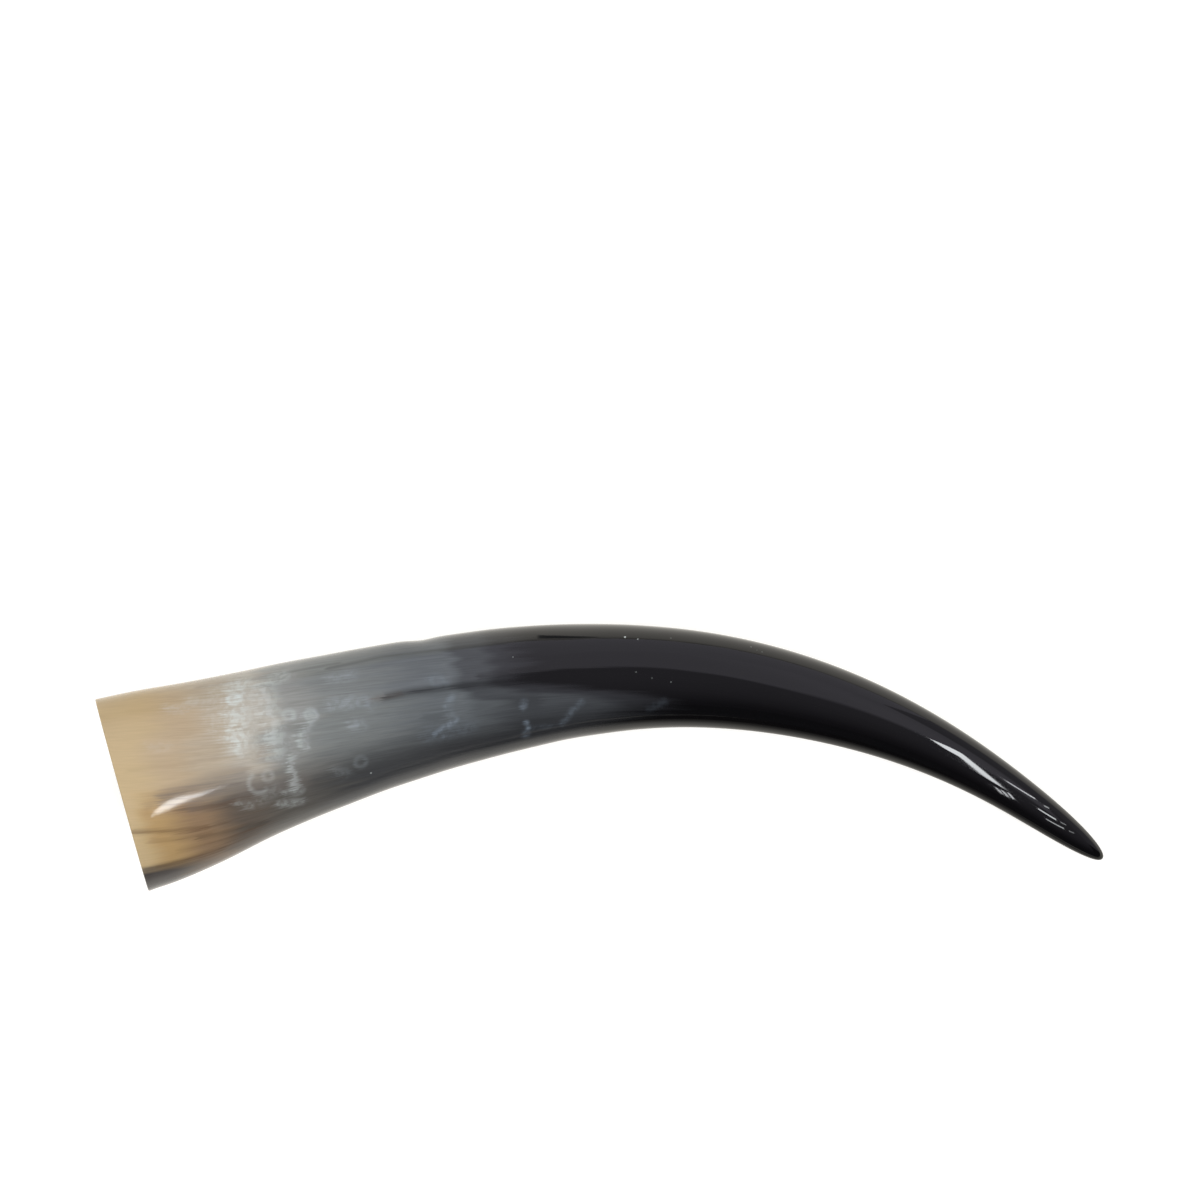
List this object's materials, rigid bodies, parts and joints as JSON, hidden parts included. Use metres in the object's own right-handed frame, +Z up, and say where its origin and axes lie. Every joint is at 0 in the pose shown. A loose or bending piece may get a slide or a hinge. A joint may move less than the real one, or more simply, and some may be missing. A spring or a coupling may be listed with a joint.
{
  "type": "cow horn",
  "caption": "Polished cow horn lying on its side: curved, tapering to a blunt tip, hollow from the sawn mouth.",
  "frame": {"origin": "centre of the bounding box in X and Y, on the surface that the horn lies on", "axes": "+Z up, +X from the mouth towards the tip, +Y towards the outside of the bend"},
  "size_m": [0.4124, 0.1074, 0.068],
  "materials": {
    "keratin": "polished horn with a fine grain along it, tan and grey at the mouth and black towards the tip"
  },
  "bodies": {
    "root": {"horn": "keratin"}
  },
  "joints": []
}
